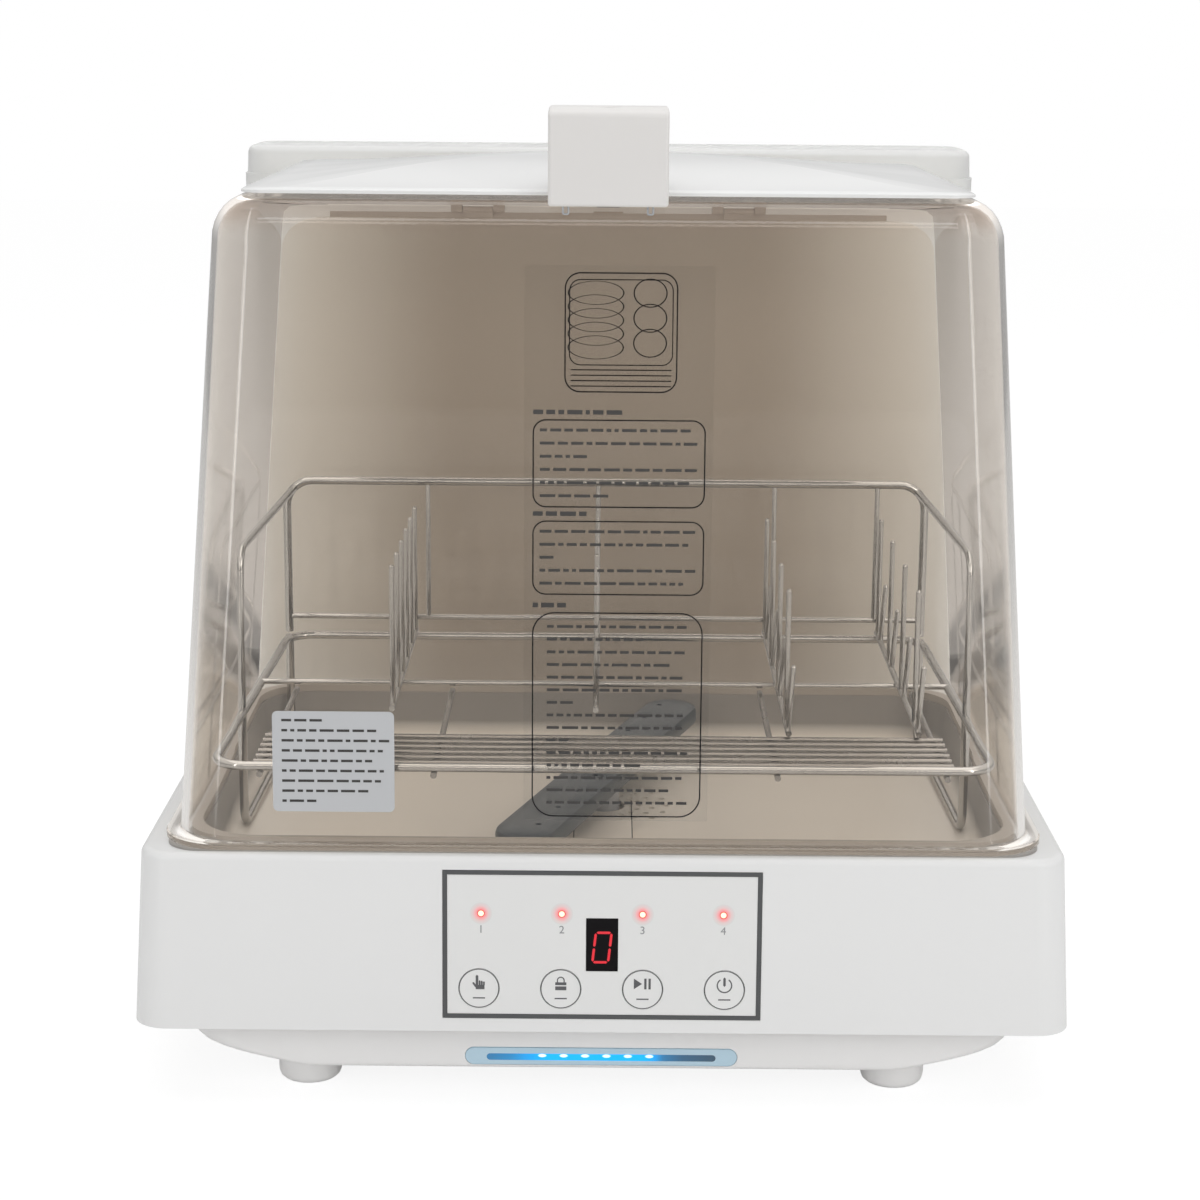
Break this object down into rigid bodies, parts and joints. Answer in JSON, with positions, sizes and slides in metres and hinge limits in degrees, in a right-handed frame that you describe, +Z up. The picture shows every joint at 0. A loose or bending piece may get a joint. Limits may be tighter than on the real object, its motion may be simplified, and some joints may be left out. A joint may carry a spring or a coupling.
{
  "type": "countertop dishwasher",
  "caption": "Free-standing countertop dishwasher with a flip-up smoky hood, wire dish rack, spray arm and rear water tank",
  "frame": {"origin": "on the table under the middle of the machine's outline", "axes": "+X to the machine's right seen from the front, +Y to the back, +Z up; the control panel faces -Y"},
  "size_m": [0.434, 0.374, 0.4565],
  "materials": {
    "white_plastic": "glossy white ABS with a fine moulded surface",
    "tub_plastic": "satin off-white polypropylene",
    "frosted_plastic": "frosted translucent polypropylene",
    "smoke_plastic": "clear brown-tinted plastic",
    "clear_film": "thin clear protective film with black print",
    "grey_label": "satin silver-grey paper label",
    "stainless": "polished stainless steel wire",
    "zinc_steel": "plain zinc-plated steel",
    "slate_plastic": "dark blue-grey moulded plastic",
    "black_plastic": "matt black plastic",
    "grey_plastic": "light grey plastic",
    "rubber": "soft black rubber",
    "circuit": "green circuit board",
    "red_lamp": "red lit lamp",
    "light_strip": "pale blue translucent lens",
    "display": "glossy black window"
  },
  "bodies": {
    "base": {"base_shell": "white_plastic", "bottom_pan": "white_plastic", "feet": "white_plastic", "pan_screws": "zinc_steel", "wash_tub": "tub_plastic", "tub_gasket": "rubber", "filter_plate": "stainless", "feed_channel": "tub_plastic", "tub_probes": "stainless", "spray_stem": "grey_plastic", "spray_cap": "slate_plastic", "wash_pump_housing": "grey_plastic", "wash_pump_motor": "black_plastic", "wash_hose": "rubber", "heater": "stainless", "drain_pump_body": "grey_plastic", "drain_hose": "rubber", "drain_outlet": "grey_plastic", "inlet_pump": "black_plastic", "tank_outlet": "grey_plastic", "fan_housing": "black_plastic", "fan_duct": "grey_plastic", "control_board": "circuit", "power_board": "circuit", "power_inlet": "black_plastic", "panel_frame": "grey_plastic", "panel_plate": "white_plastic", "display_window": "display", "indicator_lamps": "red_lamp", "light_lens": "light_strip", "light_board": "circuit", "rear_wall": "smoke_plastic", "hinge_rail": "black_plastic", "hinge_pins": "zinc_steel", "reed_switch": "circuit", "water_tank": "frosted_plastic"},
    "hood": {"hood_shell": "smoke_plastic", "top_panel": "white_plastic", "hinge_lugs": "white_plastic", "handle": "white_plastic", "handle_screw": "zinc_steel", "handle_clips": "grey_plastic", "instruction_film": "clear_film", "notice_label": "grey_label", "hood_magnet": "zinc_steel"},
    "dish_rack": {"rack_lower_frame": "stainless", "rack_upper_frame": "stainless", "plate_tines": "stainless", "bowl_tines": "stainless", "utensil_shelf": "stainless"},
    "spray": {"spray_arm": "slate_plastic"},
    "tank_cover": {"tank_lid": "frosted_plastic"},
    "wash_rotor": {"wash_pump_impeller": "slate_plastic"},
    "drain_rotor": {"drain_pump_impeller": "slate_plastic"},
    "fan_wheel": {"fan_rotor": "slate_plastic"},
    "select_button": {"select_key": "white_plastic"},
    "lock_button": {"lock_key": "white_plastic"},
    "start_button": {"start_key": "white_plastic"},
    "power_button": {"power_key": "white_plastic"}
  },
  "joints": [
    {"name": "hood_hinge", "type": "hinge", "parent": "base", "child": "hood", "pos_m": [0, 0.096, 0.407], "axis": [-1, 0, 0], "range_deg": [0, 75]},
    {"name": "spray_spin", "type": "hinge", "parent": "base", "child": "spray", "pos_m": [0, -0.036, 0.1175], "axis": [0, 0, 1], "continuous": true},
    {"name": "rack_lift", "type": "slide", "parent": "base", "child": "dish_rack", "axis": [0, 0, 1], "range_m": [0, 0.07]},
    {"name": "tank_lid_lift", "type": "slide", "parent": "base", "child": "tank_cover", "axis": [0, 0, 1], "range_m": [0, 0.06]},
    {"name": "wash_pump_spin", "type": "hinge", "parent": "base", "child": "wash_rotor", "pos_m": [0.078, 0.024, 0.07], "axis": [0, 0, 1], "continuous": true},
    {"name": "drain_pump_spin", "type": "hinge", "parent": "base", "child": "drain_rotor", "pos_m": [-0.09, 0.024, 0.05], "axis": [0, 0, 1], "continuous": true},
    {"name": "fan_spin", "type": "hinge", "parent": "base", "child": "fan_wheel", "pos_m": [0.062, 0.1735, 0.072], "axis": [0, 1, 0], "continuous": true},
    {"name": "select_press", "type": "slide", "parent": "base", "child": "select_button", "axis": [0, 0.9984, -0.0565], "range_m": [0, 0.0005], "stiffness_N_per_m": 1500, "springref_m": -0.0005},
    {"name": "lock_press", "type": "slide", "parent": "base", "child": "lock_button", "axis": [0, 0.9984, -0.0565], "range_m": [0, 0.0005], "stiffness_N_per_m": 1500, "springref_m": -0.0005},
    {"name": "start_press", "type": "slide", "parent": "base", "child": "start_button", "axis": [0, 0.9984, -0.0565], "range_m": [0, 0.0005], "stiffness_N_per_m": 1500, "springref_m": -0.0005},
    {"name": "power_press", "type": "slide", "parent": "base", "child": "power_button", "axis": [0, 0.9984, -0.0565], "range_m": [0, 0.0005], "stiffness_N_per_m": 1500, "springref_m": -0.0005}
  ]
}
